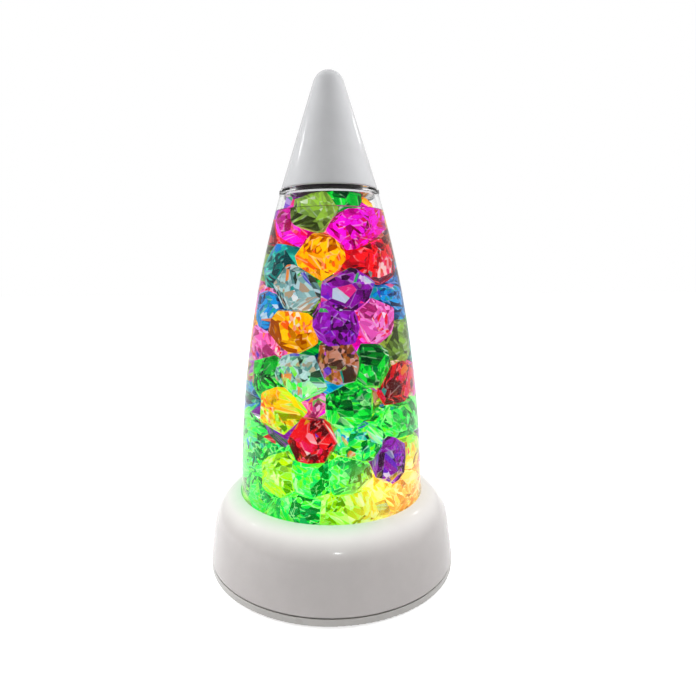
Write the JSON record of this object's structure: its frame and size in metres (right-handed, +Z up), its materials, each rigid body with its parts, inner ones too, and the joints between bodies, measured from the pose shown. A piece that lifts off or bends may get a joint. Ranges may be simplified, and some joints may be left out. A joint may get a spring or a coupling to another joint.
{
  "type": "sensory lamp",
  "caption": "Table lamp with a pointed clear vessel of coloured faceted gems in liquid, lit from a round white base and topped by a white cone.",
  "frame": {"origin": "centre of the base on the plane of the rubber feet", "axes": "+Z up along the lamp's axis, -Y towards the viewer of the picture, +X to that viewer's right"},
  "size_m": [0.1346, 0.1346, 0.261],
  "materials": {
    "white_gloss": "gloss moulded",
    "white_plate": "satin moulded",
    "clear_vessel": "clear polished",
    "dark_rubber": "matte",
    "soft_rubber": "matte",
    "white_reflector": "gloss",
    "led_lens": "clear resin",
    "circuit_board": "lacquered",
    "black_plastic": "matte",
    "screw_steel": "zinc plated",
    "contact_steel": "nickel plated",
    "cell_jacket": "plain sleeve",
    "lead_sleeve": "vinyl",
    "gem_amber": "clear faceted acrylic",
    "gem_blue": "clear faceted acrylic",
    "gem_clear": "clear faceted acrylic",
    "gem_copper": "clear faceted acrylic",
    "gem_green": "clear faceted acrylic",
    "gem_lime": "clear faceted acrylic",
    "gem_magenta": "clear faceted acrylic",
    "gem_pink": "clear faceted acrylic",
    "gem_purple": "clear faceted acrylic",
    "gem_red": "clear faceted acrylic",
    "gem_teal": "clear faceted acrylic"
  },
  "bodies": {
    "lamp": {"cap": "white_gloss", "vessel": "clear_vessel", "stopper": "dark_rubber", "base_shell": "white_gloss", "base_plate": "white_plate", "seat_gasket": "soft_rubber", "reflector": "white_reflector", "leds": "led_lens", "led_board": "circuit_board", "control_chip": "black_plastic", "board_screws": "screw_steel", "battery_cells": "cell_jacket", "battery_contacts": "contact_steel", "switch_body": "black_plastic", "switch_screws": "screw_steel", "switch_leads": "lead_sleeve", "plate_screws": "screw_steel", "rubber_feet": "dark_rubber", "gems_amber": "gem_amber", "gems_blue": "gem_blue", "gems_clear": "gem_clear", "gems_copper": "gem_copper", "gems_green": "gem_green", "gems_lime": "gem_lime", "gems_magenta": "gem_magenta", "gems_pink": "gem_pink", "gems_purple": "gem_purple", "gems_red": "gem_red", "gems_teal": "gem_teal"},
    "switch": {"switch_slider": "black_plastic"},
    "door": {"battery_door": "white_plate"},
    "screw": {"door_screw": "screw_steel"}
  },
  "joints": [
    {"name": "power_switch", "type": "slide", "parent": "lamp", "child": "switch", "axis": [0, 1, 0], "range_m": [-0.004, 0]},
    {"name": "battery_door_hinge", "type": "hinge", "parent": "lamp", "child": "door", "pos_m": [0, 0.0283, 0.0022], "axis": [1, 0, 0], "range_deg": [0, 80]},
    {"name": "door_screw_turn", "type": "hinge", "parent": "door", "child": "screw", "pos_m": [0, -0.035, 0.004], "axis": [0, 0, 1], "continuous": true}
  ]
}
